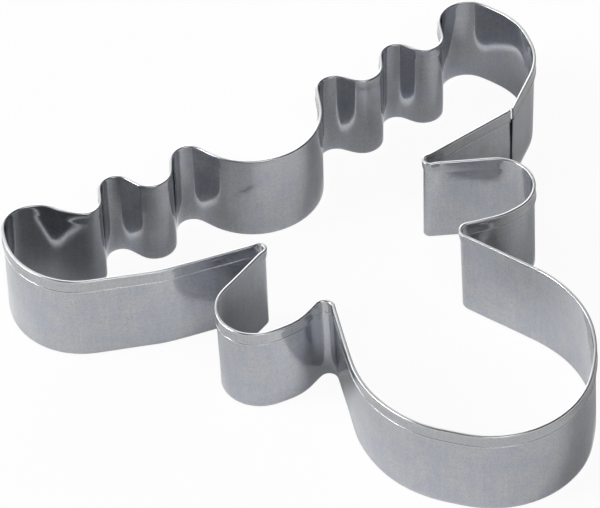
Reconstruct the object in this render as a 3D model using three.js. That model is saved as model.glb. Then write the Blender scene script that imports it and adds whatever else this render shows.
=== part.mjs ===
// Moose-head cookie cutter, bent from one stainless steel strip.
// The strip's top edge is folded over outwards as a flat hem, its lower edge is the plain cutting edge.
// Its two ends meet on the right antler in a joggled lap: the hem is cut away from the inner end, which is
// set in by one sheet behind the outer end and held there by two spot welds.
// Millimetres, +Z up, cutting edge on z = 0. From above, +Y points to the antlers and -Y to the muzzle.
import * as THREE from 'three';

// Strip
const stripHeight = 25;
const sheetThickness = 0.35;
const hemDepth = 3.6; // how far the folded edge reaches down the outside
const hemGap = 0.1; // slit left inside the flattened fold

// Lap
const seamX = 52.75; // cut end of the outer sheet, on its middle plane
const seamY = 24.5;
const seamClearance = 0.5; // room beside the cut end for the joggle, over and above the sheet's own thickness
const lapGap = 0.1; // between the outer sheet and the tab behind it
const tabLength = 14;
const joggleInnerRadius = 0.075;

// Spot welds
const weldDiameter = 3;
const weldInset = 8.5; // from the cut end, along the lap
const upperWeldHeight = 16.5;
const lowerWeldHeight = 6;

// Bend radii of the strip's middle plane, the same on both sides of the head
const muzzleRadius = 24.25;
const cheekRadius = 30.25;
const neckNotchRadius = 2.5;
const earFrontRadius = 12.5;
const earTipRadius = 9.25;
const antlerNotchRadius = 1.5;
const antlerHeelRadius = 19;
const antlerEndRadius = 18.5;
const antlerTipRadius = 7.25;
const outerDipRadius = 5;
const outerTineRadius = 4;
const innerDipRadius = 5.25;
const innerTineRadius = 4.25;
const browRadius = 17.25;

// Bend centres [x, y]. The cutter is bent by hand, so its two sides differ a little.
const muzzleCentre = [0, -40.5];
const browCentre = [0, 60.25];
const leftCentres = {
  cheek: [2, -33.5],
  neckNotch: [-22.25, -5.5],
  earFront: [-31, 7.25],
  earTip: [-35, 4.5],
  antlerNotch: [-24.25, 20],
  antlerHeel: [-41.75, 45.5],
  antlerEnd: [-55, 50.75],
  antlerTip: [-64.5, 57.5],
  outerDip: [-51, 58],
  outerTine: [-41.25, 57.25],
  innerDip: [-31.5, 57.25],
  innerTine: [-21.25, 55.75],
};
const rightCentres = {
  cheek: [-2.25, -34.25],
  neckNotch: [21, -4.25],
  earFront: [32.5, 8],
  earTip: [34.75, 4.75],
  antlerNotch: [26.75, 21.5],
  antlerHeel: [53.5, 47.5],
  antlerEnd: [54.5, 49.25],
  antlerTip: [63.5, 57.25],
  outerDip: [50.75, 58.75],
  outerTine: [41.5, 57.25],
  innerDip: [31.75, 58.75],
  innerTine: [22, 56.25],
};

// Fineness of the facets
const chordError = 0.05;
const widestStep = Math.PI / 8;
const hemFoldSteps = 4;
const weldSides = 24;

// The strip is followed clockwise, so the outside is on its left. A bend to the right goes round a centre
// inside the outline, a bend to the left round one outside it.
const RIGHT = 1;
const LEFT = -1;

function bend(turn, radius, [x, y]) {
  return { turn, radius, centre: new THREE.Vector2(x, y) };
}

function along(heading) {
  return new THREE.Vector2(Math.cos(heading), Math.sin(heading));
}

function outwards(heading) {
  return new THREE.Vector2(-Math.sin(heading), Math.cos(heading));
}

// From the muzzle up to the notch under the antler
function faceBends(centres) {
  return [
    bend(RIGHT, cheekRadius, centres.cheek),
    bend(LEFT, neckNotchRadius, centres.neckNotch),
    bend(RIGHT, earFrontRadius, centres.earFront),
    bend(RIGHT, earTipRadius, centres.earTip),
    bend(LEFT, antlerNotchRadius, centres.antlerNotch),
  ];
}

// Round the antler, from its lower wall to the brow
function antlerBends(centres) {
  return [
    bend(RIGHT, antlerHeelRadius, centres.antlerHeel),
    bend(RIGHT, antlerEndRadius, centres.antlerEnd),
    bend(RIGHT, antlerTipRadius, centres.antlerTip),
    bend(LEFT, outerDipRadius, centres.outerDip),
    bend(RIGHT, outerTineRadius, centres.outerTine),
    bend(LEFT, innerDipRadius, centres.innerDip),
    bend(RIGHT, innerTineRadius, centres.innerTine),
  ];
}

// Heading of the straight stretch that leaves one bend and enters the next, tangent to both
function headingBetween(from, to) {
  const span = to.centre.clone().sub(from.centre);
  const shift = to.turn * to.radius - from.turn * from.radius;
  return span.angle() + Math.asin(shift / span.length());
}

// The lap follows the outer sheet's end stretch: the tab leaves the hem's end, is set in by one sheet and
// the lap gap, and then runs parallel to the outer sheet. Its two small bends make the joggle.
function lapBends(lapHeading) {
  const cutEnd = new THREE.Vector2(seamX, seamY);
  const forward = along(lapHeading);
  const inward = outwards(lapHeading).negate();
  const setIn = sheetThickness + lapGap;
  const radius = joggleInnerRadius + sheetThickness / 2;
  const seamGap = sheetThickness + seamClearance;
  const place = (ahead, inside) => {
    const point = cutEnd.clone().addScaledVector(forward, ahead).addScaledVector(inward, inside);
    return point.toArray();
  };
  return [
    bend(RIGHT, radius, place(-seamGap, radius)),
    bend(LEFT, radius, place(0, setIn - radius)),
    bend(RIGHT, 0, place(tabLength, setIn)),
  ];
}

// Stations along the strip's middle plane: the tangent points of every bend and points between them,
// close enough for the chord error. Each has its place, the strip's heading there, and the heading that its
// section is square to, which is the same unless an end is cut at a slant.
function stationsAlong(bends) {
  const headings = bends.slice(1).map((next, index) => headingBetween(bends[index], next));
  const stations = [];
  bends.forEach((pin, index) => {
    const entry = headings[Math.max(index - 1, 0)];
    const exit = headings[Math.min(index, headings.length - 1)];
    const sweep = THREE.MathUtils.euclideanModulo(pin.turn * (entry - exit), 2 * Math.PI);
    const chordStep = pin.radius > chordError ? 2 * Math.acos(1 - chordError / pin.radius) : widestStep;
    const count = pin.radius > 0 ? Math.ceil(sweep / Math.min(chordStep, widestStep)) : 0;
    for (let i = 0; i <= count; i += 1) {
      const heading = entry - pin.turn * sweep * (count > 0 ? i / count : 0);
      const point = pin.centre.clone().addScaledVector(outwards(heading), pin.turn * pin.radius);
      stations.push({ point, heading, cut: heading, pin });
    }
  });
  return stations;
}

// Section of the strip as pairs of points [outwards, up] on the two faces of the sheet, from the cutting
// edge, past the tab's top, round the fold and down to the hem's free edge.
function hemSection() {
  const half = sheetThickness / 2;
  const hemEdge = stripHeight - hemDepth;
  const foldCentre = half + hemGap / 2;
  const foldOuter = sheetThickness + hemGap / 2;
  const foldInner = hemGap / 2;
  const foldHeight = stripHeight - foldOuter;
  const onFold = (radius, angle) => [
    foldCentre - radius * Math.cos(angle),
    foldHeight + radius * Math.sin(angle),
  ];
  const pairs = [0, hemEdge].map((height) => ({ face: [-half, height], back: [half, height] }));
  for (let i = 0; i <= hemFoldSteps; i += 1) {
    const angle = (Math.PI * i) / hemFoldSteps;
    pairs.push({ face: onFold(foldOuter, angle), back: onFold(foldInner, angle) });
  }
  pairs.push({
    face: [foldCentre + foldOuter, hemEdge],
    back: [foldCentre + foldInner, hemEdge],
  });
  return pairs;
}

// Closed skin of the whole strip: the hemmed stretch from the outer cut end to the end of the hem, and the
// bare tab from there on, which keeps only the section's lower part.
function stripGeometry(stations, hemEnd) {
  const section = hemSection();
  const tabTop = 1;
  const hemTop = section.length - 1;
  const tabEnd = stations.length - 1;
  const corners = [];

  const vertex = ([station, pair, side]) => {
    const { point, heading, cut } = stations[station];
    const [out, up] = section[pair][side];
    const ahead = out * Math.tan(heading - cut);
    const place = point.clone().addScaledVector(outwards(heading), out);
    place.addScaledVector(along(heading), ahead);
    return [place.x, place.y, up];
  };
  const quad = (...places) => {
    const [a, b, c, d] = places.map(vertex);
    corners.push(a, b, c, a, c, d);
  };
  const stretch = (first, last, top) => {
    for (let s = first; s < last; s += 1) {
      for (let k = 0; k < top; k += 1) {
        quad([s, k, 'face'], [s + 1, k, 'face'], [s + 1, k + 1, 'face'], [s, k + 1, 'face']);
        quad([s, k, 'back'], [s, k + 1, 'back'], [s + 1, k + 1, 'back'], [s + 1, k, 'back']);
      }
      quad([s, 0, 'face'], [s, 0, 'back'], [s + 1, 0, 'back'], [s + 1, 0, 'face']);
      quad([s, top, 'face'], [s + 1, top, 'face'], [s + 1, top, 'back'], [s, top, 'back']);
    }
  };
  const backwardEnd = (s, bottom, top) => {
    for (let k = bottom; k < top; k += 1) {
      quad([s, k, 'face'], [s, k + 1, 'face'], [s, k + 1, 'back'], [s, k, 'back']);
    }
  };
  const forwardEnd = (s, bottom, top) => {
    for (let k = bottom; k < top; k += 1) {
      quad([s, k, 'face'], [s, k, 'back'], [s, k + 1, 'back'], [s, k + 1, 'face']);
    }
  };

  backwardEnd(0, 0, hemTop);
  stretch(0, hemEnd, hemTop);
  forwardEnd(hemEnd, tabTop, hemTop);
  stretch(hemEnd, tabEnd, tabTop);
  forwardEnd(tabEnd, 0, tabTop);

  const geometry = new THREE.BufferGeometry();
  geometry.setAttribute('position', new THREE.Float32BufferAttribute(corners.flat(), 3));
  geometry.computeVertexNormals();
  return geometry;
}

// Nugget of a spot weld: a flat disc that fills the lap gap between the outer sheet and the tab
function spotWeld(name, height, lapHeading, material) {
  const geometry = new THREE.CylinderGeometry(weldDiameter / 2, weldDiameter / 2, lapGap, weldSides);
  const weld = new THREE.Mesh(geometry, material);
  const inward = outwards(lapHeading).negate();
  const place = new THREE.Vector2(seamX, seamY)
    .addScaledVector(along(lapHeading), weldInset)
    .addScaledVector(inward, (sheetThickness + lapGap) / 2);
  weld.name = name;
  weld.position.set(place.x, place.y, height);
  weld.quaternion.setFromUnitVectors(new THREE.Vector3(0, 1, 0), new THREE.Vector3(inward.x, inward.y, 0));
  return weld;
}

// Middle of the hem's outer outline, which becomes the origin
function outlineCentre(stations) {
  const hemFace = 1.5 * sheetThickness + hemGap;
  const box = new THREE.Box2();
  stations.forEach(({ point, heading }) => {
    box.expandByPoint(point.clone().addScaledVector(outwards(heading), hemFace));
  });
  return box.getCenter(new THREE.Vector2());
}

const cutEndPoint = bend(RIGHT, 0, [seamX, seamY]);
const rightFace = faceBends(rightCentres).reverse();
const lapHeading = headingBetween(cutEndPoint, rightFace[0]);
const [joggleIn, joggleBack, tabEndPoint] = lapBends(lapHeading);
const stations = stationsAlong([
  cutEndPoint,
  ...rightFace,
  bend(RIGHT, muzzleRadius, muzzleCentre),
  ...faceBends(leftCentres),
  ...antlerBends(leftCentres),
  bend(LEFT, browRadius, browCentre),
  ...antlerBends(rightCentres).reverse(),
  joggleIn,
  joggleBack,
  tabEndPoint,
]);

// The hem of the inner end stops where the joggle begins, cut square to the lap, so that the two hems face
// each other across an even gap.
const hemEnd = stations.findIndex(({ pin }) => pin === joggleIn);
stations[hemEnd].cut = lapHeading;

const stripSteel = new THREE.MeshStandardMaterial({ color: 0xb4b6ba, roughness: 0.35, metalness: 1 });
const upperWeldSteel = new THREE.MeshStandardMaterial({ color: 0x8d8f93, roughness: 0.5, metalness: 1 });
const lowerWeldSteel = upperWeldSteel.clone();

const strip = new THREE.Mesh(stripGeometry(stations, hemEnd), stripSteel);
strip.name = 'cutter_strip';

const cutter = new THREE.Group();
cutter.name = 'moose_head_cutter';
cutter.add(strip);
cutter.add(spotWeld('spot_weld_upper', upperWeldHeight, lapHeading, upperWeldSteel));
cutter.add(spotWeld('spot_weld_lower', lowerWeldHeight, lapHeading, lowerWeldSteel));

const middle = outlineCentre(stations);
cutter.position.set(-middle.x, -middle.y, 0);

export default cutter;
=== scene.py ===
import math

import bpy
import numpy as np
from mathutils import Matrix, Vector


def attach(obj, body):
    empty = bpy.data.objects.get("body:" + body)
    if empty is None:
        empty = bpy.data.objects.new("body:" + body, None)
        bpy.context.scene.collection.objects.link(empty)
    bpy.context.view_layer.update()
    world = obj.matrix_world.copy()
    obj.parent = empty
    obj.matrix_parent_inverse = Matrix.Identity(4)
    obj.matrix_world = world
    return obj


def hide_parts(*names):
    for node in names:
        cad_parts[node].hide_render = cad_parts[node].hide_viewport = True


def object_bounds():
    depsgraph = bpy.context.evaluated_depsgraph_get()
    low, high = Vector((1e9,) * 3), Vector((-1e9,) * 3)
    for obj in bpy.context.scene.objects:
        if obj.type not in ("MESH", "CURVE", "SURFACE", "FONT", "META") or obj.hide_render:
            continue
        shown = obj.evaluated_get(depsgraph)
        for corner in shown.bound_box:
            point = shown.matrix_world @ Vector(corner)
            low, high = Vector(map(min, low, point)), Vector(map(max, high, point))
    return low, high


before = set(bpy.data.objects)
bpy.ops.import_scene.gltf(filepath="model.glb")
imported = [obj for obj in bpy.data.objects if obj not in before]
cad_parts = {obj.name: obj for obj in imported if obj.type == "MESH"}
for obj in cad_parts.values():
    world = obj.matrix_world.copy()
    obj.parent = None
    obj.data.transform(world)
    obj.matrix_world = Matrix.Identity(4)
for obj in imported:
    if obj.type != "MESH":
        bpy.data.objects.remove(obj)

cad_low, cad_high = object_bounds()
MM = 0.001

# Sheet and hem of the strip. Lengths are in millimetres unless a comment says otherwise
STRIP_HEIGHT = 25.0
SHEET = 0.35
HEM_DEPTH = 3.6
HEM_GAP = 0.1
HEM_EDGE = STRIP_HEIGHT - HEM_DEPTH
HEM_FACE = 1.5 * SHEET + HEM_GAP
INNER_FACE, OUTER_FACE = 0, 1

# Lap of the strip's two ends
SEAM = (52.75, 24.5)
SEAM_CLEARANCE = 0.5
LAP_GAP = 0.1
TAB_LENGTH = 14.0
JOGGLE_INNER_RADIUS = 0.075
WELD_INSET = 8.5
WELD_HEIGHTS = (16.5, 6.0)
FAR_FROM_WELDS = 99.0

# Bends of the strip's middle line: the radius, then the centres on the left and the right side
MUZZLE = (24.25, (0, -40.5))
BROW = (17.25, (0, 60.25))
RIGHT_TURN, LEFT_TURN = 1, -1
FACE_BENDS = (
    (RIGHT_TURN, 30.25, (2, -33.5), (-2.25, -34.25)),
    (LEFT_TURN, 2.5, (-22.25, -5.5), (21, -4.25)),
    (RIGHT_TURN, 12.5, (-31, 7.25), (32.5, 8)),
    (RIGHT_TURN, 9.25, (-35, 4.5), (34.75, 4.75)),
    (LEFT_TURN, 1.5, (-24.25, 20), (26.75, 21.5)),
)
ANTLER_BENDS = (
    (RIGHT_TURN, 19, (-41.75, 45.5), (53.5, 47.5)),
    (RIGHT_TURN, 18.5, (-55, 50.75), (54.5, 49.25)),
    (RIGHT_TURN, 7.25, (-64.5, 57.5), (63.5, 57.25)),
    (LEFT_TURN, 5, (-51, 58), (50.75, 58.75)),
    (RIGHT_TURN, 4, (-41.25, 57.25), (41.5, 57.25)),
    (LEFT_TURN, 5.25, (-31.5, 57.25), (31.75, 58.75)),
    (RIGHT_TURN, 4.25, (-21.25, 55.75), (22, 56.25)),
)

# Rows of points up the section: on the plain wall, round each weld, on the wall behind the hem's leaf (above
# the hem's edge), down the pressed part of the leaf (as shares of it) and above the leaf's burr
FOOT_ROWS, MIDDLE_ROWS, TOP_ROWS = (0.8, 1.9), (10.4, 12.2), (20.2,)
WELD_ROWS, WELD_ROWS_REACH = 7, 2.6
ROWS_BEHIND_LEAF = np.array([0.2, 0.45, 0.75, 1.1, 1.6, 2.3])
PRESSED_ROWS = np.linspace(0.16, 1, 6)
ROW_ABOVE_BURR = 0.3
EDGE_ROUND_ROWS = 4

# Stations closer than this along the strip are one
LEAST_STATION_GAP = 0.012
# Edges sharper than this stay crisp
CRISP_ANGLE = math.radians(40)

# Hand work stays clear of the lap: length kept clear at the cut end and at the tab, and length of the fade
EASING_CLEAR = (26, 40, 12)
WAVES_CLEAR = (30, 45, 20)

# Waves of the bent sheet: height, length along the strip for one radian, slant, then strength, height and
# start of the wandering, and start
WALL_WAVES = (
    (0.034, 6.1, 0.0, 0.7, 7.0, 0.0, 0.0),
    (0.024, 2.7, -0.12, 0.0, 1.0, 0.0, 1.3),
    (0.022, 3.9, 0.0, 1.1, 4.2, 0.6, 0.4),
)

# Dents (inwards) and bulges (outwards) by the left antler's tip: length run and height
DENTS = ((385.5, -0.2), (388.5, -0.12), (391.5, 0.29), (397.5, 0.69), (400.5, 0.5))

# Walls out of the upright: direction in plan, then for the face how much, below which place in plan and over
# what length, and for the left antler how much, beyond which place, over what length and up to what height
SKEW_WAY = np.array([0.846, -0.533])
FACE_SKEW, FACE_SKEW_FROM, FACE_SKEW_FADE = 0.85, 18, 24
ANTLER_SWING, ANTLER_SWING_FROM, ANTLER_SWING_FADE, ANTLER_SWING_TOP = 0.42, -44, 16, 0.8

# Smear on the inside of the brow: its place in plan and height, half length, half width and slope
SMEAR_PLAN = (-10.9, 46.63)
SMEAR_HEIGHT = 15.4
SMEAR_HALF_SIZE = (2.8, 0.8)
SMEAR_SLOPE = 0.68

# Painted shade in the seam's deep, narrow recess: how far ahead of the shoulder it starts, the length over
# which it builds up, and its share on the cut end
SEAM_SHADE_AHEAD = 0.1
SEAM_SHADE_BUILD_UP = 0.25
SEAM_SHADE_ON_CUT_END = 0.6


def along(heading):
    """Unit vectors that point the way the strip runs."""
    return np.stack([np.cos(heading), np.sin(heading)], axis=-1)


def outwards(heading):
    """Unit vectors to the left of the strip's run, which is the outside of the head."""
    return np.stack([-np.sin(heading), np.cos(heading)], axis=-1)


def smooth_step(share):
    """Three times the square less twice the cube, from 0 to 1 and held level outside them."""
    share = np.clip(share, 0, 1)
    return share * share * (3 - 2 * share)


def clear_of_lap(run, strip_length, cut_end_clear, tab_clear, fade):
    """Share of hand work let in: nil near both ends of the strip, then a straight line up to 1."""
    return np.clip(np.minimum(run - cut_end_clear, strip_length - tab_clear - run) / fade, 0, 1)


def heading_between(first, second):
    """Heading of the straight stretch tangent to two bends: the angle of the line between their centres,
    turned by the arc sine of the change in signed radius over the distance."""
    span = np.subtract(second[2], first[2])
    change = second[0] * second[1] - first[0] * first[1]
    return math.atan2(span[1], span[0]) + math.asin(change / math.hypot(*span))


def strip_bends():
    """Every bend in turn, clockwise from the cut end on the right antler: down the right side of the face,
    round the muzzle, up the left side, over both antlers and through the joggle to the end of the tab."""
    right_face = [(turn, radius, right) for turn, radius, _, right in reversed(FACE_BENDS)]
    left_face = [(turn, radius, left) for turn, radius, left, _ in FACE_BENDS]
    left_antler = [(turn, radius, left) for turn, radius, left, _ in ANTLER_BENDS]
    right_antler = [(turn, radius, right) for turn, radius, _, right in reversed(ANTLER_BENDS)]
    cut_end = (RIGHT_TURN, 0.0, SEAM)
    lap_heading = heading_between(cut_end, right_face[0])
    ahead, inside = along(lap_heading), -outwards(lap_heading)
    joggle = JOGGLE_INNER_RADIUS + SHEET / 2
    set_in = SHEET + LAP_GAP
    seam_gap = SHEET + SEAM_CLEARANCE
    tab = [
        (RIGHT_TURN, joggle, SEAM - seam_gap * ahead + joggle * inside),
        (LEFT_TURN, joggle, SEAM + (set_in - joggle) * inside),
        (RIGHT_TURN, 0.0, SEAM + TAB_LENGTH * ahead + set_in * inside),
    ]
    muzzle, brow = (RIGHT_TURN, *MUZZLE), (LEFT_TURN, *BROW)
    head = [cut_end, *right_face, muzzle, *left_face, *left_antler, brow, *right_antler]
    return head + tab, lap_heading


class StripLine:
    """Middle line of the strip: arcs round the bend centres joined by their tangents, so that the heading is
    a piecewise linear function of the length run, and a point is either on its arc or on its tangent."""

    def __init__(self, bends):
        self.turn = np.array([bend[0] for bend in bends], float)
        self.radius = np.array([bend[1] for bend in bends], float)
        self.centre = np.array([bend[2] for bend in bends], float)
        straight = np.array([heading_between(a, b) for a, b in zip(bends, bends[1:])])
        entry, leave = np.r_[straight[0], straight], np.r_[straight, straight[-1]]
        self.sweep = np.mod(self.turn * (entry - leave), 2 * math.pi)
        reach = (self.turn * self.radius)[:, None]
        self.leave_point = self.centre + reach * outwards(leave)
        entry_point = self.centre + reach * outwards(entry)
        run = np.hypot(*(entry_point[1:] - self.leave_point[:-1]).T)
        arc = self.radius * self.sweep
        self.start = np.r_[0, np.cumsum(arc[:-1] + run)]
        self.end = self.start + arc
        turned = np.cumsum(self.turn * self.sweep)
        self.knots = np.stack([self.start, self.end], axis=1).ravel()
        self.headings = straight[0] - np.stack([np.r_[0, turned[:-1]], turned], axis=1).ravel()
        self.length = self.end[-1]
        self.shoulder = self.start[-3]
        self.tab_weld = self.length - TAB_LENGTH + WELD_INSET

    def at(self, run):
        """Points and headings at the given lengths run."""
        heading = np.interp(run, self.knots, self.headings)
        bend = np.clip(np.searchsorted(self.start, run, side="right") - 1, 0, len(self.start) - 1)
        on_arc = self.centre[bend] + (self.turn * self.radius)[bend][:, None] * outwards(heading)
        on_line = self.leave_point[bend] + (run - self.end[bend])[:, None] * along(heading)
        return np.where((run <= self.end[bend])[:, None], on_arc, on_line), heading

    def eased(self, run, ease=0.2, longest_ease=1.2, bell_reach=2.2, bell_steps=23):
        """Points and headings of the line with its bends eased into the straights: each point is the mean of
        the line over a bell-shaped stretch round it, a fifth of the bend's radius long, and nil at the
        lap."""
        middle = (self.start + self.end) / 2
        stretch = np.interp(run, middle, np.minimum(ease * self.radius, longest_ease))
        stretch = stretch * clear_of_lap(run, self.length, *EASING_CLEAR)
        steps = np.linspace(-bell_reach, bell_reach, bell_steps)
        share = np.exp(-steps ** 2 / 2)
        near = (run[:, None] + stretch[:, None] * steps).ravel()
        points, heading = self.at(near)
        points = np.average(points.reshape(len(run), -1, 2), axis=1, weights=share)
        return points, np.average(heading.reshape(len(run), -1), axis=1, weights=share)


def strip_stations(line, bend_step=0.125, longest_step=1.2, lap_step=0.4, lap_reach=22.0):
    """Lengths run at which the strip gets a section: even steps on every arc and every straight, finer in
    tight bends and in the lap."""
    pieces = []
    for start, end, sweep in zip(line.start, line.end, line.sweep):
        count = max(math.ceil(sweep / bend_step), math.ceil((end - start) / longest_step))
        pieces.append(np.linspace(start, end, count + 1))
    for start, end in zip(line.end[:-1], line.start[1:]):
        pieces.append(np.linspace(start, end, math.ceil((end - start) / longest_step) + 1))
    pieces.append(np.arange(0, lap_reach, lap_step))
    pieces.append(np.arange(line.shoulder, line.length, lap_step))
    run = np.unique(np.round(np.concatenate(pieces), 4))
    return run[np.r_[True, np.diff(run) > LEAST_STATION_GAP]]


def hem_section(fold_steps=12, flatness=0.6, edge_round=0.05, pressed=0.085, press_reach=1.1,
                burr_half=0.16, burr_proud=0.08, burr_end=-0.7, burr_steps=7, wear_power=0.4, burr_wear=0.5):
    """Section of the sheet as two rows of points (out, up), with as many points on the inner face as on the
    outer one: straight walls with a rounded cutting edge, the fold, and the hem's leaf. The fold is half of
    a squarish round, sine and cosine raised to a power, because it was pressed flat. The leaf is pressed in
    by a smooth step below the fold and ends in a burr, part of an ellipse. The last row says how far each
    point is worn bright: a power of the sine over the fold, half of the burr's cosine below."""
    half = SHEET / 2
    fold_middle = half + HEM_GAP / 2
    fold_height = STRIP_HEIGHT - SHEET - HEM_GAP / 2
    corner = np.linspace(0, math.pi / 2, EDGE_ROUND_ROWS)
    edge_up = edge_round * (1 - np.cos(corner))
    edge_in = edge_round * (1 - np.sin(corner))
    lower_weld, upper_weld = [np.linspace(height - WELD_ROWS_REACH, height + WELD_ROWS_REACH, WELD_ROWS)
                              for height in sorted(WELD_HEIGHTS)]
    walls = np.r_[FOOT_ROWS, lower_weld, MIDDLE_ROWS, upper_weld, TOP_ROWS, HEM_EDGE]
    wall_up = np.r_[edge_up, walls, HEM_EDGE + ROWS_BEHIND_LEAF]
    wall_in = np.r_[edge_in, np.zeros(len(walls) + len(ROWS_BEHIND_LEAF))]
    turn = np.linspace(0, math.pi, fold_steps + 1)
    fold_out = np.sign(np.cos(turn)) * np.abs(np.cos(turn)) ** flatness
    fold_up = np.abs(np.sin(turn)) ** flatness
    roll = np.linspace(math.pi / 2, burr_end, burr_steps)
    burr_up = HEM_EDGE + burr_half * (np.sin(roll) - np.sin(roll[-1]))
    leaf_up = np.r_[fold_height - press_reach * PRESSED_ROWS, burr_up[0] + ROW_ABOVE_BURR, burr_up]
    burr = burr_proud * np.r_[np.zeros(len(leaf_up) - len(roll)), np.cos(roll)]
    leaf_in = pressed * smooth_step((fold_height - leaf_up) / press_reach)

    def face(side, fold_radius, leaf_out, leaf_burr):
        wall = np.stack([side * (half - wall_in), wall_up], axis=1)
        fold = np.stack([fold_middle - fold_radius * fold_out, fold_height + fold_radius * fold_up], axis=1)
        leaf = np.stack([leaf_out - leaf_in + leaf_burr, leaf_up], axis=1)
        return np.vstack([wall, fold, leaf])

    inner = face(-1, SHEET + HEM_GAP / 2, fold_middle + SHEET + HEM_GAP / 2, burr)
    outer = face(1, HEM_GAP / 2, fold_middle + HEM_GAP / 2, 0 * burr)
    tab_top = len(edge_up) + len(walls) - 1
    fold_bright = np.abs(np.sin(turn)) ** wear_power
    worn = np.r_[np.zeros(len(wall_up)), fold_bright, burr_wear * burr / burr_proud]
    return inner, outer, tab_top, worn


def hand_bent_waves(run, up, strip_length, spare, kept_spare=0.7, spare_fade=3.0):
    """Unevenness of the bent sheet in millimetres: sines along the strip whose phase slants and wanders with
    height, faded out towards the lap and where little is to spare to the sides of the outline's box."""
    fade = clear_of_lap(run, strip_length, *WAVES_CLEAR) * smooth_step((spare - kept_spare) / spare_fade)
    waves = 0
    for height, length, slant, wander, wander_height, wander_start, start in WALL_WAVES:
        wandering = wander * np.sin(up / wander_height + wander_start)
        waves = waves + height * np.sin(run / length + slant * up + wandering + start)
    return fade * waves


def hand_bent_dents(run, reach=3.2):
    """Dents and bulges where the strip left its drawn line while it was bent, in millimetres outwards: a bell
    curve along the strip for each."""
    return sum(height * np.exp(-((run - place) / reach) ** 2) for place, height in DENTS)


def hand_bent_skew(plan, up):
    """How far the walls stand out of the upright, in millimetres along the skew's direction: the face's rim
    leans one way and its cutting edge the other, and the left antler's cutting edge is swung out. Both come
    in with a smooth step over the plan and are straight lines over the height."""
    height = up / STRIP_HEIGHT
    face = smooth_step((FACE_SKEW_FROM - plan[..., 1]) / FACE_SKEW_FADE)
    left_antler = smooth_step((ANTLER_SWING_FROM - plan[..., 0]) / ANTLER_SWING_FADE)
    leaning = FACE_SKEW * face * (0.5 - height)
    return leaning - ANTLER_SWING * left_antler * np.maximum(1 - height / ANTLER_SWING_TOP, 0)


def hem_lean(up, curl, slope=0.04, ease=0.5, crowded=0.26, shoulder=1.7, tight_radius=2.0):
    """Inward lean of the hemmed zone in millimetres, left by folding and pressing the hem: nil up to the
    hem's lower edge, then a straight slope that sets in gradually. In the tight notches, where the line curls
    outwards and crowds the hem's layers, a smooth step sets the zone in further, in full from the tight
    radius down."""
    above = np.maximum(up - HEM_EDGE, 0)
    set_in = crowded * smooth_step(tight_radius * curl) * smooth_step(above / shoulder)
    return slope * above ** 2 / (above + ease) + set_in


def cut_slant(run, up, slant=0.36, drop=10.0, reach=3.0):
    """How far the cut end stands out towards the shoulder in millimetres, which narrows the slit downwards: a
    smooth step below the hem, faded out along the strip."""
    return slant * smooth_step((HEM_EDGE - up) / drop) * np.clip(1 - run / reach, 0, 1)


def electrode_mark(distance, depth=0.05, radius=1.7, steepness=6, ring_share=0.25, ring_place=1.25,
                   ring_width=0.25):
    """Print of a welding electrode: a flat dish, the exponential of minus a high power of the distance over
    the radius, raised to a low ring at its edge, a bell curve."""
    dish = -depth * np.exp(-(distance / radius) ** steepness)
    ring = ring_share * depth * np.exp(-((distance - ring_place * radius) / (ring_width * radius)) ** 2)
    return dish + ring


def weld_distance(run, up, place):
    """Distance over the sheet from the nearest of the two weld centres, which lie one above the other."""
    return np.minimum.reduce([np.hypot(run - place, up - height) for height in WELD_HEIGHTS])


def smear_shape(ahead, above):
    """Strength of the smear: a bell curve in two directions, the long one sloping upwards along the strip."""
    long_way = math.cos(SMEAR_SLOPE) * ahead + math.sin(SMEAR_SLOPE) * above
    short_way = math.cos(SMEAR_SLOPE) * above - math.sin(SMEAR_SLOPE) * ahead
    return np.exp(-(long_way / SMEAR_HALF_SIZE[0]) ** 2 - (short_way / SMEAR_HALF_SIZE[1]) ** 2)


def strip_faces(index, hem_end, tab_top):
    """Four-sided faces of the strip's closed skin, from the numbers of its points by face, station and row:
    the full section up to the hem's end, the wall alone along the tab, both with their two faces, cutting
    edge and upper edge, and the three cut ends."""
    last, top = index.shape[1] - 1, index.shape[2] - 1

    def skin(first, final, highest):
        stretch = index[:, first:final + 1, :highest + 1]
        inner, outer = stretch
        quads = [
            np.stack([inner[:-1, :-1], inner[1:, :-1], inner[1:, 1:], inner[:-1, 1:]], axis=-1),
            np.stack([outer[:-1, :-1], outer[:-1, 1:], outer[1:, 1:], outer[1:, :-1]], axis=-1),
            np.stack([inner[:-1, 0], outer[:-1, 0], outer[1:, 0], inner[1:, 0]], axis=-1),
            np.stack([inner[:-1, -1], inner[1:, -1], outer[1:, -1], outer[:-1, -1]], axis=-1),
        ]
        return [quad.reshape(-1, 4) for quad in quads]

    def end_face(station, lowest, highest):
        inner, outer = index[:, station, lowest:highest + 1]
        return np.stack([inner[:-1], outer[:-1], outer[1:], inner[1:]], axis=-1)

    return np.vstack([
        end_face(0, 0, top)[:, ::-1],
        *skin(0, hem_end, top),
        end_face(hem_end, tab_top, top),
        *skin(hem_end, last, tab_top),
        end_face(last, 0, tab_top),
    ])


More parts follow.
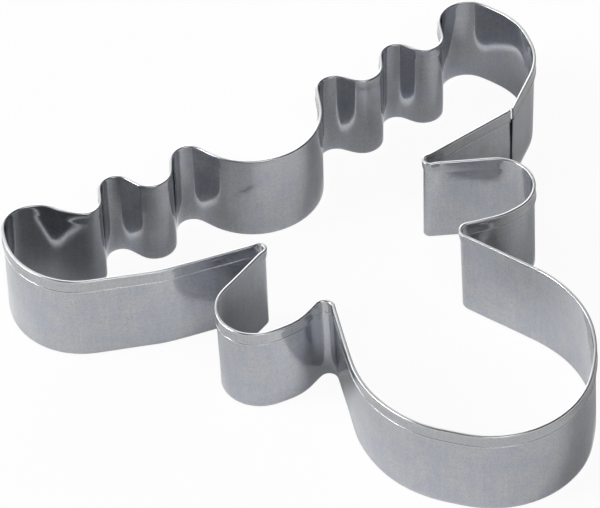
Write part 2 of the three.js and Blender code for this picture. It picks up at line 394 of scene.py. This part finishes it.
def strip_marks(line, run, up, wall, worn, smear_run):
    """What each point carries for the finish: its distance from the welds, its share of the painted shade in
    the seam's recess, a straight line past the shoulder on the outer face and level on the cut end, and on
    the inner face how far it is worn bright and smeared."""
    side = np.indices(up.shape)[0]
    heat = np.minimum(weld_distance(run, up, WELD_INSET), weld_distance(run, up, line.tab_weld))
    # Painted shade of the seam's recess: builds up past the shoulder on the outer face, and part of it on the
    # cut end
    past_shoulder = np.clip((run - line.shoulder + SEAM_SHADE_AHEAD) / SEAM_SHADE_BUILD_UP, 0, 1)
    seam_shade = past_shoulder * (side == OUTER_FACE) * wall
    inside = side == INNER_FACE
    return {
        "weld_distance": np.where(wall, heat, FAR_FROM_WELDS),
        "painted_seam_shade": np.maximum(seam_shade, SEAM_SHADE_ON_CUT_END * (run == 0)),
        "worn_bright": np.broadcast_to(worn, up.shape) * inside,
        "smear": smear_shape(run - smear_run, up - SMEAR_HEIGHT) * inside,
    }


def strip_mesh(name):
    """The whole strip: the hem section carried along the strip line, square to it, with the hem's leaf and
    fold left off along the tab, and every cut end closed between its two faces. Each point keeps its place on
    the flat sheet and its marks for the finish."""
    bends, lap_heading = strip_bends()
    line = StripLine(bends)
    run = strip_stations(line)
    points, heading = line.eased(run)
    inner, outer, tab_top, worn = hem_section()
    hem_end = int(np.argmin(np.abs(run - line.shoulder)))

    section = np.stack([inner, outer])
    shape = (2, len(run), len(inner))
    out = np.broadcast_to(section[:, None, :, 0], shape).copy()
    up = np.broadcast_to(section[:, None, :, 1], shape).copy()
    run_grid = np.broadcast_to(run[None, :, None], shape)
    drawn_points, drawn_heading = line.at(run)
    outline = drawn_points + outwards(drawn_heading) * HEM_FACE
    low, high = outline.min(axis=0), outline.max(axis=0)
    spare = np.minimum(drawn_points - low, high - drawn_points).min(axis=1)[None, :, None]
    curl = np.gradient(heading, run)[None, :, None]
    out += hand_bent_waves(run_grid, up, line.length, spare) + hand_bent_dents(run_grid) - hem_lean(up, curl)

    wall = np.arange(len(inner)) <= tab_top
    on_tab = run[:, None] > line.shoulder
    outer_print = electrode_mark(weld_distance(run_grid[OUTER_FACE], up[OUTER_FACE], WELD_INSET))
    inner_print = electrode_mark(weld_distance(run_grid[INNER_FACE], up[INNER_FACE], line.tab_weld))
    out[OUTER_FACE] += np.where(wall, outer_print, 0)
    out[INNER_FACE] -= np.where(wall & on_tab, inner_print, 0)

    cut = heading.copy()
    cut[hem_end] = lap_heading
    sideways = out * np.tan(heading - cut)[None, :, None] - cut_slant(run_grid, up)
    plan = points[None, :, None, :] + out[..., None] * outwards(heading)[None, :, None, :]
    plan = plan + sideways[..., None] * along(heading)[None, :, None, :]
    plan = plan + hand_bent_skew(plan, up)[..., None] * SKEW_WAY
    corners = np.concatenate([plan, up[..., None]], axis=-1)

    faces = strip_faces(np.arange(out.size).reshape(shape), hem_end, tab_top)
    used = np.unique(faces)
    renumber = np.zeros(out.size, int)
    renumber[used] = np.arange(len(used))
    drawn_middle = np.r_[(low + high) / 2, 0]
    middle = np.array([(cad_low[0] + cad_high[0]) / 2, (cad_low[1] + cad_high[1]) / 2, 0])
    mesh = bpy.data.meshes.new(name)
    mesh.from_pydata((corners.reshape(-1, 3)[used] - drawn_middle) * MM + middle, [], renumber[faces])

    unfolded = np.r_[0, np.cumsum(np.hypot(*np.diff((inner + outer) / 2, axis=0).T))]
    sheet = np.stack([run_grid, np.broadcast_to(unfolded, shape), np.indices(shape)[0]], axis=-1)
    sheet = sheet.reshape(-1, 3)[used]
    attribute = mesh.attributes.new("sheet", "FLOAT_VECTOR", "POINT")
    attribute.data.foreach_set("vector", sheet.astype(np.float32).ravel())
    smear_run = run[np.argmin(np.hypot(*(points - SMEAR_PLAN).T))]
    for label, values in strip_marks(line, run_grid, up, wall, worn, smear_run).items():
        attribute = mesh.attributes.new(label, "FLOAT", "POINT")
        attribute.data.foreach_set("value", values.reshape(-1)[used].astype(np.float32))
    grain = mesh.uv_layers.new(name="grain")
    corner_points = np.empty(len(mesh.loops), int)
    mesh.loops.foreach_get("vertex_index", corner_points)
    grain.data.foreach_set("uv", (sheet[:, [1, 0]] * MM)[corner_points].astype(np.float32).ravel())
    mesh.shade_smooth()
    mesh.set_sharp_from_angle(angle=CRISP_ANGLE)
    mesh.update()
    return mesh


# Colours of the steel, its marks, the painted shade of the seam and the floor
NEUTRAL_STEEL = (0.585, 0.59, 0.602, 1)
BLUISH_STEEL = (0.505, 0.534, 0.592, 1)
CLOUDED_STEEL = (0.48, 0.495, 0.535, 1)
FOLDED_STEEL = (0.552, 0.555, 0.56, 1)
ROLLING_LINES = (0.42, 0.43, 0.455, 1)
CROSS_STREAKS = (0.67, 0.68, 0.705, 1)
SPECKLES = (0.40, 0.41, 0.44, 1)
SCRATCHES = (0.74, 0.745, 0.76, 1)
STRAW_TINT = (0.54, 0.50, 0.44, 1)
WELD_PRINT = (0.37, 0.375, 0.41, 1)
SMEARED_STEEL = (0.24, 0.24, 0.26, 1)
WORN_STEEL = (0.88, 0.885, 0.9, 1)
# Near-black painted shade for the seam's deep, narrow recess
SEAM_PAINTED_SHADE = (0.035, 0.034, 0.036, 1)
FUSED_STEEL = (0.36, 0.36, 0.38, 1)
BROWNED_STEEL = (0.31, 0.27, 0.23, 1)
WELD_PITS = (0.16, 0.16, 0.17, 1)
FLOOR_WHITE = (0.94, 0.94, 0.94, 1)

# Roughness inside and outside, and thickness that keeps the marks of the two faces apart
INNER_ROUGHNESS, OUTER_ROUGHNESS = 0.05, 0.10
FACES_APART = 0.02

# Sockets of the Mix node that take and give colours, and those that take numbers
COLOUR_A, COLOUR_B, COLOUR_RESULT = 6, 7, 2
NUMBER_A, NUMBER_B = 2, 3


class Bench:
    """Nodes of a finish or of the light, with the steps that both are made of."""

    def __init__(self, owner):
        owner.use_nodes = True
        self.nodes = owner.node_tree.nodes
        self.links = owner.node_tree.links

    def add(self, kind, **settings):
        """New node of this kind with these settings."""
        node = self.nodes.new("ShaderNode" + kind)
        for setting, value in settings.items():
            setattr(node, setting, value)
        return node

    def feed(self, socket, value):
        """A socket takes either another node's output or a plain value."""
        if isinstance(value, bpy.types.NodeSocket):
            self.links.new(value, socket)
        else:
            socket.default_value = value

    def work(self, operation, *values):
        """Result of one arithmetic operation on these values."""
        node = self.add("Math", operation=operation)
        for place, value in enumerate(values):
            self.feed(node.inputs[place], value)
        return node.outputs[0]


class Finish(Bench):
    """Material under construction."""

    def __init__(self, name):
        self.material = bpy.data.materials.new(name)
        super().__init__(self.material)
        self.shader = self.nodes["Principled BSDF"]

    def shade(self, **settings):
        """Give the shader's sockets these values. An underscore stands for a space in a socket's name."""
        for socket, value in settings.items():
            self.feed(self.shader.inputs[socket.replace("_", " ")], value)

    def carried(self, name, output="Fac"):
        """What the mesh carries at each point under this name."""
        return self.add("Attribute", attribute_name=name).outputs[output]

    def drawn_out(self, source, length, width, lean=0.0):
        """The flat sheet's coordinates divided by a mark's length and width, after a turn by its lean."""
        turned = self.add("Mapping", vector_type="TEXTURE")
        self.feed(turned.inputs["Vector"], source)
        self.feed(turned.inputs["Rotation"], (0, 0, lean))
        self.feed(turned.inputs["Scale"], (length, width, FACES_APART))
        return turned.outputs["Vector"]

    def clouds(self, source, scale=1.0, detail=3.0):
        """Cloudy noise over these coordinates, about a half on the whole."""
        noise = self.add("TexNoise")
        self.feed(noise.inputs["Vector"], source)
        self.feed(noise.inputs["Scale"], scale)
        self.feed(noise.inputs["Detail"], detail)
        return noise.outputs["Fac"]

    def span(self, value, low, high, to_low=0.0, to_high=1.0):
        """Straight line from low to high, held level outside them."""
        ramp = self.add("MapRange")
        for place, setting in enumerate((value, low, high, to_low, to_high)):
            self.feed(ramp.inputs[place], setting)
        return ramp.outputs["Result"]

    def tint(self, amount, first, second):
        """First colour at an amount of 0, second at 1, and a straight blend between."""
        mix = self.add("Mix", data_type="RGBA")
        self.feed(mix.inputs[0], amount)
        self.feed(mix.inputs[COLOUR_A], first)
        self.feed(mix.inputs[COLOUR_B], second)
        return mix.outputs[COLOUR_RESULT]

    def bump(self, height, strength, depth):
        """Surface relief, with its depth in millimetres."""
        relief = self.add("Bump")
        self.feed(relief.inputs["Height"], height)
        self.feed(relief.inputs["Strength"], strength)
        self.feed(relief.inputs["Distance"], depth * MM)
        self.shade(Normal=relief.outputs[0])


def strip_steel():
    """Cold-rolled stainless sheet. Its colour drifts between a neutral and a bluish grey in clouds a few
    millimetres wide, crossed by fine lines along the strip and faint streaks across it, with a speckle and a
    few scratches. The outer face is more satin than the inner one. Fold and burr are worn bright, the welds
    are tinted by their heat, the brow has a small dark smear, and the recess of the seam gets a near-black
    painted shade and is made rougher."""
    finish = Finish("strip_steel")
    sheet = finish.carried("sheet", "Vector")
    place = finish.add("TexCoord").outputs["Object"]
    parts = finish.add("SeparateXYZ")
    finish.feed(parts.inputs[0], sheet)
    height, outer_face = parts.outputs[1], parts.outputs[2]

    rolled = finish.clouds(finish.drawn_out(sheet, length=22.0, width=0.42), detail=4)
    streaks = finish.clouds(finish.drawn_out(sheet, length=1.1, width=14.0), detail=3)
    mottle = finish.clouds(place, scale=170, detail=4)
    mottle_fine = finish.clouds(place, scale=900, detail=3)
    speckle = finish.clouds(place, scale=2400, detail=1)
    long_scratches = finish.clouds(finish.drawn_out(sheet, length=6.0, width=0.15, lean=0.3))
    short_scratches = finish.clouds(finish.drawn_out(sheet, length=5.0, width=0.14, lean=-0.9))
    scratch = finish.work("MAXIMUM", finish.span(long_scratches, 0.70, 0.74),
                          finish.span(short_scratches, 0.72, 0.76))
    worn = finish.carried("worn_bright")
    # Mask of the painted shade in the seam's recess
    seam_shade = finish.carried("painted_seam_shade")
    heat = finish.carried("weld_distance")
    smear = finish.carried("smear")

    colour = finish.tint(finish.span(mottle, 0.38, 0.62), NEUTRAL_STEEL, BLUISH_STEEL)
    # Each layer: what it follows, where that starts and is full, the layer's greatest share, and its colour
    for source, start, full, share, layer in (
            (mottle_fine, 0.42, 0.62, 0.3, CLOUDED_STEEL),
            (height, 25.0, 25.3, 0.7, FOLDED_STEEL),
            (rolled, 0.35, 0.7, 0.34, ROLLING_LINES),
            (streaks, 0.4, 0.7, 0.24, CROSS_STREAKS),
            (speckle, 0.46, 0.68, 0.6, SPECKLES),
            (scratch, 0.0, 1.0, 0.3, SCRATCHES),
            (heat, 3.2, 1.6, 0.3, STRAW_TINT),
            (heat, 1.9, 0.9, 0.4, WELD_PRINT),
    ):
        colour = finish.tint(finish.span(source, start, full, 0, share), colour, layer)
    smeared = finish.work("MULTIPLY", smear, finish.span(mottle_fine, 0.38, 0.55, 0.3, 0.95))
    # Smear, wear, then the near-black painted shade of the seam's recess
    for amount, layer in ((smeared, SMEARED_STEEL), (worn, WORN_STEEL), (seam_shade, SEAM_PAINTED_SHADE)):
        colour = finish.tint(amount, colour, layer)

    rough = finish.span(outer_face, 0.0, 1.0, INNER_ROUGHNESS, OUTER_ROUGHNESS)
    # The painted seam shade also makes the recess rougher
    for source, added in ((rolled, 0.05), (mottle, 0.04), (scratch, 0.08), (worn, 0.22), (seam_shade, 0.45)):
        rough = finish.work("MULTIPLY_ADD", source, added, rough)

    finish.bump(finish.work("MULTIPLY_ADD", speckle, 0.4, rolled), strength=0.05, depth=0.02)
    grain = finish.add("Tangent", direction_type="UV_MAP", uv_map="grain")
    finish.shade(Base_Color=colour, Roughness=rough, Tangent=grain.outputs[0], Anisotropic=0.5, Metallic=1.0)
    return finish.material


def weld_steel():
    """Fused steel of the spot welds: dull grey, clouded with a brown heat tint and pitted finely."""
    finish = Finish("weld_steel")
    place = finish.add("TexCoord").outputs["Object"]
    clouded = finish.clouds(place, scale=900, detail=4)
    pits = finish.clouds(place, scale=5200, detail=2)
    colour = finish.tint(finish.span(clouded, 0.35, 0.65), FUSED_STEEL, BROWNED_STEEL)
    colour = finish.tint(finish.span(pits, 0.55, 0.7, 0, 0.5), colour, WELD_PITS)
    finish.bump(pits, strength=0.4, depth=0.03)
    finish.shade(Base_Color=colour, Roughness=finish.span(pits, 0.3, 0.7, 0.4, 0.62), Metallic=1.0)
    return finish.material


strip = bpy.data.objects.new("hemmed_strip", strip_mesh("hemmed_strip"))
bpy.context.scene.collection.objects.link(strip)
strip.data.materials.append(strip_steel())
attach(strip, "root")
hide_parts("cutter_strip")

nugget = weld_steel()
for weld in ("spot_weld_upper", "spot_weld_lower"):
    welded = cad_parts[weld]
    welded.data.materials.clear()
    welded.data.materials.append(nugget)

# The floor lies a little below the cutting edge: light through the gap draws the bright lines that the walls
# mirror along each other's foot
FLOOR_GAP = 0.8
FLOOR_HALF = 3000.0
FLOOR_DEPTH = 20.0
# Share of plain white in what the camera sees of the floor, and in what the steel mirrors of it
SEEN_WHITE, MIRRORED_WHITE = 0.94, 0.05


def floor_board():
    """Plain white board, which shows the camera and mirrors some of its own white besides its light and
    shade."""
    finish = Finish("floor_board")
    finish.shade(Base_Color=FLOOR_WHITE, Roughness=0.9, Specular_IOR_Level=0.0)
    ray = finish.add("LightPath").outputs
    share = finish.work("MULTIPLY", ray["Is Camera Ray"], SEEN_WHITE)
    share = finish.work("MULTIPLY_ADD", ray["Is Transmission Ray"], SEEN_WHITE, share)
    share = finish.work("MULTIPLY_ADD", ray["Is Glossy Ray"], MIRRORED_WHITE, share)
    white = finish.add("Emission")
    mixed = finish.add("MixShader")
    for place, value in enumerate((share, finish.shader.outputs[0], white.outputs[0])):
        finish.feed(mixed.inputs[place], value)
    finish.feed(finish.nodes["Material Output"].inputs["Surface"], mixed.outputs[0])
    return finish.material


def floor_block(name):
    """Flat square block: four corners of a square, once at the floor's level and once its depth below."""
    plan = np.array([(-1, -1), (1, -1), (1, 1), (-1, 1)]) * FLOOR_HALF
    top = np.c_[plan, np.full(len(plan), -FLOOR_GAP)]
    mesh = bpy.data.meshes.new(name)
    mesh.from_pydata(
        np.vstack([top - (0, 0, FLOOR_DEPTH), top]) * MM, [],
        [(3, 2, 1, 0), (4, 5, 6, 7), (0, 1, 5, 4), (1, 2, 6, 5), (2, 3, 7, 6), (3, 0, 4, 7)])
    mesh.materials.append(floor_board())
    return mesh


floor = bpy.data.objects.new("floor", floor_block("floor"))
bpy.context.scene.collection.objects.link(floor)

# Camera: its place, its angles, the focal length in pixels of the image, the sensor's width, and the nearest
# and farthest that it sees, in metres
CAMERA_PLACE = Vector((-344.07, -507.40, 646.92)) * MM
CAMERA_AZIMUTH = math.radians(-32.1655)
CAMERA_PITCH = math.radians(45.3505)
CAMERA_ROLL = math.radians(2.0993)
IMAGE_WIDTH = 600
FOCAL_PIXELS = 3678.75
SENSOR_WIDTH = 36.0
NEAREST, FARTHEST = 0.01, 10


def camera_turn():
    """Turn of the camera: its right, up and backward directions, from the azimuth round the upright, the
    pitch below the level and the roll round the line of sight."""
    rightwards = Vector((math.cos(CAMERA_AZIMUTH), math.sin(CAMERA_AZIMUTH), 0))
    forwards = Vector((-math.sin(CAMERA_AZIMUTH), math.cos(CAMERA_AZIMUTH), 0))
    upwards = Vector((0, 0, 1))
    level_up = math.sin(CAMERA_PITCH) * forwards + math.cos(CAMERA_PITCH) * upwards
    image_right = math.cos(CAMERA_ROLL) * rightwards - math.sin(CAMERA_ROLL) * level_up
    image_up = math.sin(CAMERA_ROLL) * rightwards + math.cos(CAMERA_ROLL) * level_up
    sight = math.cos(CAMERA_PITCH) * forwards - math.sin(CAMERA_PITCH) * upwards
    return Matrix((image_right, image_up, -sight)).transposed().to_4x4()


camera_data = bpy.data.cameras.new("camera")
camera = bpy.data.objects.new("camera", camera_data)
bpy.context.scene.collection.objects.link(camera)
bpy.context.scene.camera = camera
camera_data.sensor_width = SENSOR_WIDTH
camera_data.lens = SENSOR_WIDTH * FOCAL_PIXELS / IMAGE_WIDTH
camera_data.clip_start, camera_data.clip_end = NEAREST, FARTHEST
camera.matrix_world = Matrix.Translation(CAMERA_PLACE) @ camera_turn()

# Light tent: faint light all round and soft patches given by azimuth from the camera's side (positive to its
# right), elevation, strength and tightness
TENT_ALL_ROUND = 0.02
TENT_PATCHES = {
    "left_window_front": (-72, 34, 24.0, 250),
    "left_window_middle": (-80, 26, 14.2, 250),
    "left_window_back": (-88, 26, 24.8, 250),
    "left_high": (-80, 46, 7.8, 80),
    "left_low": (-110, 14, 10.2, 80),
    "back_left_high": (-135, 40, 1.5, 40),
    "back_left": (-160, 10, 3.5, 25),
    "back": (180, 30, 2.3, 40),
    "front_high": (0, 55, 3.7, 80),
    "front_right": (20, 45, 6.8, 80),
}


def light_tent():
    """World whose strength is a sum of soft patches: each is its strength times the exponential of its
    tightness times (cosine of the angle from its middle, less one). The camera itself sees plain white."""
    world = bpy.data.worlds.new("light_tent")
    tent = Bench(world)
    background = tent.nodes["Background"]
    tent.feed(background.inputs["Color"], (1, 1, 1, 1))
    look = tent.add("TexCoord").outputs["Generated"]
    total = TENT_ALL_ROUND
    for name, (azimuth, elevation, strength, tightness) in TENT_PATCHES.items():
        turn, lift = math.radians(azimuth) + CAMERA_AZIMUTH, math.radians(elevation)
        middle = (math.sin(turn) * math.cos(lift), -math.cos(turn) * math.cos(lift), math.sin(lift))
        nearness = tent.add("VectorMath", operation="DOT_PRODUCT", label=name)
        tent.feed(nearness.inputs[0], look)
        tent.feed(nearness.inputs[1], middle)
        fall = tent.work("MULTIPLY_ADD", nearness.outputs["Value"], tightness, -tightness)
        total = tent.work("MULTIPLY_ADD", tent.work("EXPONENT", fall), strength, total)
    seen = tent.add("Mix")
    tent.feed(seen.inputs[0], tent.add("LightPath").outputs["Is Camera Ray"])
    tent.feed(seen.inputs[NUMBER_A], total)
    tent.feed(seen.inputs[NUMBER_B], 1.0)
    tent.feed(background.inputs["Strength"], seen.outputs[0])
    return world


bpy.context.scene.world = light_tent()
bpy.context.scene.view_settings.view_transform = "Standard"
